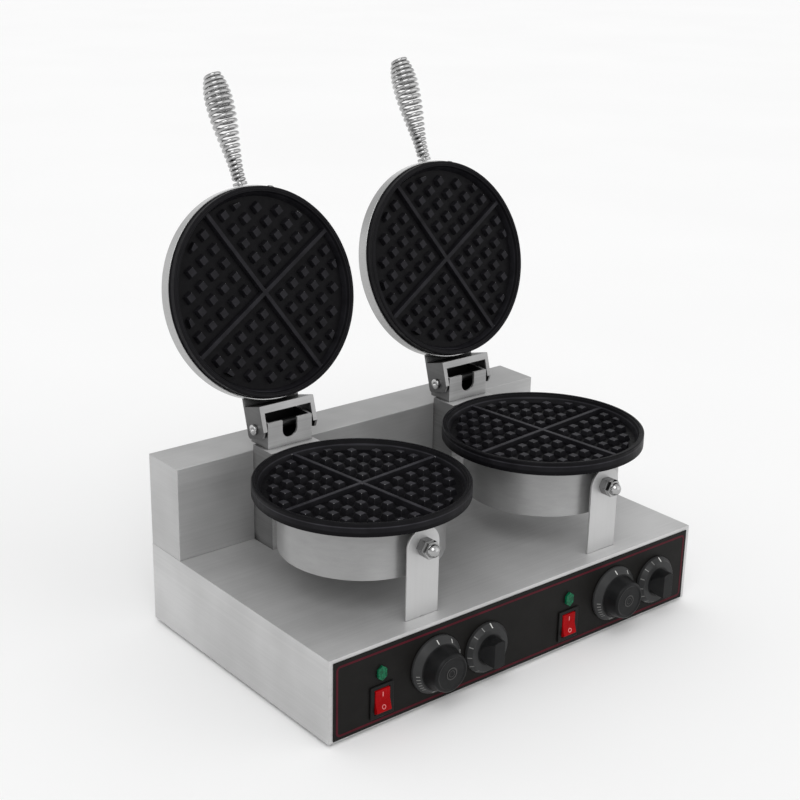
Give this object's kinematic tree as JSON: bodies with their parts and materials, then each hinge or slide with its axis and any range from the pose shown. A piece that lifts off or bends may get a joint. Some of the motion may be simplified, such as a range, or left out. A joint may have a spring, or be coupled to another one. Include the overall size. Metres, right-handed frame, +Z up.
{
  "type": "twin round waffle maker",
  "caption": "Countertop waffle maker with side-by-side round peg-grid plates, spring-handled hinged lids, and a front panel of timer and thermostat knobs, rocker switches and lamps.",
  "frame": {"origin": "on the table, at the bottom centre of the whole part's box with the lids open", "axes": "+X to the operator's right along the front, +Y from the control panel to the back, +Z up"},
  "size_m": [0.48, 0.3931, 0.5527],
  "materials": {
    "casing_steel": "brushed stainless sheet",
    "drum_steel": "satin stainless sheet",
    "hinge_steel": "brushed stainless sheet",
    "cover_steel": "polished stainless sheet",
    "plate_coating": "near-black non-stick coating on cast aluminium",
    "panel_black": "satin black with a dark red border line",
    "bright_metal": "bright plated",
    "plain_metal": "plain zinc-plated steel",
    "handle_wire": "bright spring wire",
    "element_tube": "heat-darkened steel tube",
    "knob_plastic": "satin charcoal",
    "switch_plastic": "matt black",
    "rocker_red": "glossy red",
    "lamp_green": "faceted green lens",
    "control_plastic": "dark moulding",
    "foot_rubber": "matt black"
  },
  "bodies": {
    "base": {"base_casing": "casing_steel", "rear_housing": "casing_steel", "bottom_plate": "plain_metal", "casing_screws": "plain_metal", "rubber_feet": "foot_rubber", "control_panel": "panel_black", "cord_gland": "control_plastic", "terminal_block": "control_plastic", "timers": "control_plastic", "thermostats": "control_plastic", "lower_clamps": "plain_metal", "head_studs": "plain_metal", "drum_bolts": "plain_metal", "drum_spacers": "plain_metal", "hex_nuts": "bright_metal", "cap_nuts": "bright_metal", "bracket_screws": "plain_metal", "hinge_washers": "plain_metal", "left_switch_frame": "switch_plastic", "left_lamp_lens": "lamp_green", "left_drum": "drum_steel", "left_support_strap": "drum_steel", "left_lower_plate": "plate_coating", "left_lower_element": "element_tube", "left_hinge_block": "hinge_steel", "left_hinge_bracket": "hinge_steel", "left_hinge_pin": "bright_metal", "right_switch_frame": "switch_plastic", "right_lamp_lens": "lamp_green", "right_drum": "drum_steel", "right_support_strap": "drum_steel", "right_lower_plate": "plate_coating", "right_lower_element": "element_tube", "right_hinge_block": "hinge_steel", "right_hinge_bracket": "hinge_steel", "right_hinge_pin": "bright_metal"},
    "left_lid": {"left_hinge_yoke": "hinge_steel", "left_lid_cover": "cover_steel", "left_lid_plate": "plate_coating", "left_lid_element": "element_tube", "left_lid_clamp": "plain_metal", "left_lid_fasteners": "plain_metal", "left_handle_stud": "handle_wire", "left_handle_coil": "handle_wire"},
    "left_rocker_body": {"left_rocker": "rocker_red"},
    "left_timer_dial": {"left_timer_knob": "knob_plastic"},
    "left_thermostat_dial": {"left_thermostat_knob": "knob_plastic"},
    "right_lid": {"right_hinge_yoke": "hinge_steel", "right_lid_cover": "cover_steel", "right_lid_plate": "plate_coating", "right_lid_element": "element_tube", "right_lid_clamp": "plain_metal", "right_lid_fasteners": "plain_metal", "right_handle_stud": "handle_wire", "right_handle_coil": "handle_wire"},
    "right_rocker_body": {"right_rocker": "rocker_red"},
    "right_timer_dial": {"right_timer_knob": "knob_plastic"},
    "right_thermostat_dial": {"right_thermostat_knob": "knob_plastic"}
  },
  "joints": [
    {"name": "left_lid_hinge", "type": "hinge", "parent": "base", "child": "left_lid", "pos_m": [-0.12, 0.0717, 0.213], "axis": [1, 0, 0], "range_deg": [0, 106]},
    {"name": "left_rocker_pivot", "type": "hinge", "parent": "base", "child": "left_rocker_body", "pos_m": [-0.181, -0.1698, 0.03], "axis": [1, 0, 0], "range_deg": [0, 16]},
    {"name": "left_timer_turn", "type": "hinge", "parent": "base", "child": "left_timer_dial", "pos_m": [-0.117, -0.1718, 0.0455], "axis": [0, 1, 0], "range_deg": [0, 300]},
    {"name": "left_thermostat_turn", "type": "hinge", "parent": "base", "child": "left_thermostat_dial", "pos_m": [-0.0538, -0.1718, 0.042], "axis": [0, 1, 0], "range_deg": [0, 270]},
    {"name": "right_lid_hinge", "type": "hinge", "parent": "base", "child": "right_lid", "pos_m": [0.12, 0.0717, 0.213], "axis": [1, 0, 0], "range_deg": [0, 106]},
    {"name": "right_rocker_pivot", "type": "hinge", "parent": "base", "child": "right_rocker_body", "pos_m": [0.059, -0.1698, 0.03], "axis": [1, 0, 0], "range_deg": [0, 16]},
    {"name": "right_timer_turn", "type": "hinge", "parent": "base", "child": "right_timer_dial", "pos_m": [0.123, -0.1718, 0.0455], "axis": [0, 1, 0], "range_deg": [0, 300]},
    {"name": "right_thermostat_turn", "type": "hinge", "parent": "base", "child": "right_thermostat_dial", "pos_m": [0.1862, -0.1718, 0.042], "axis": [0, 1, 0], "range_deg": [0, 270]}
  ]
}
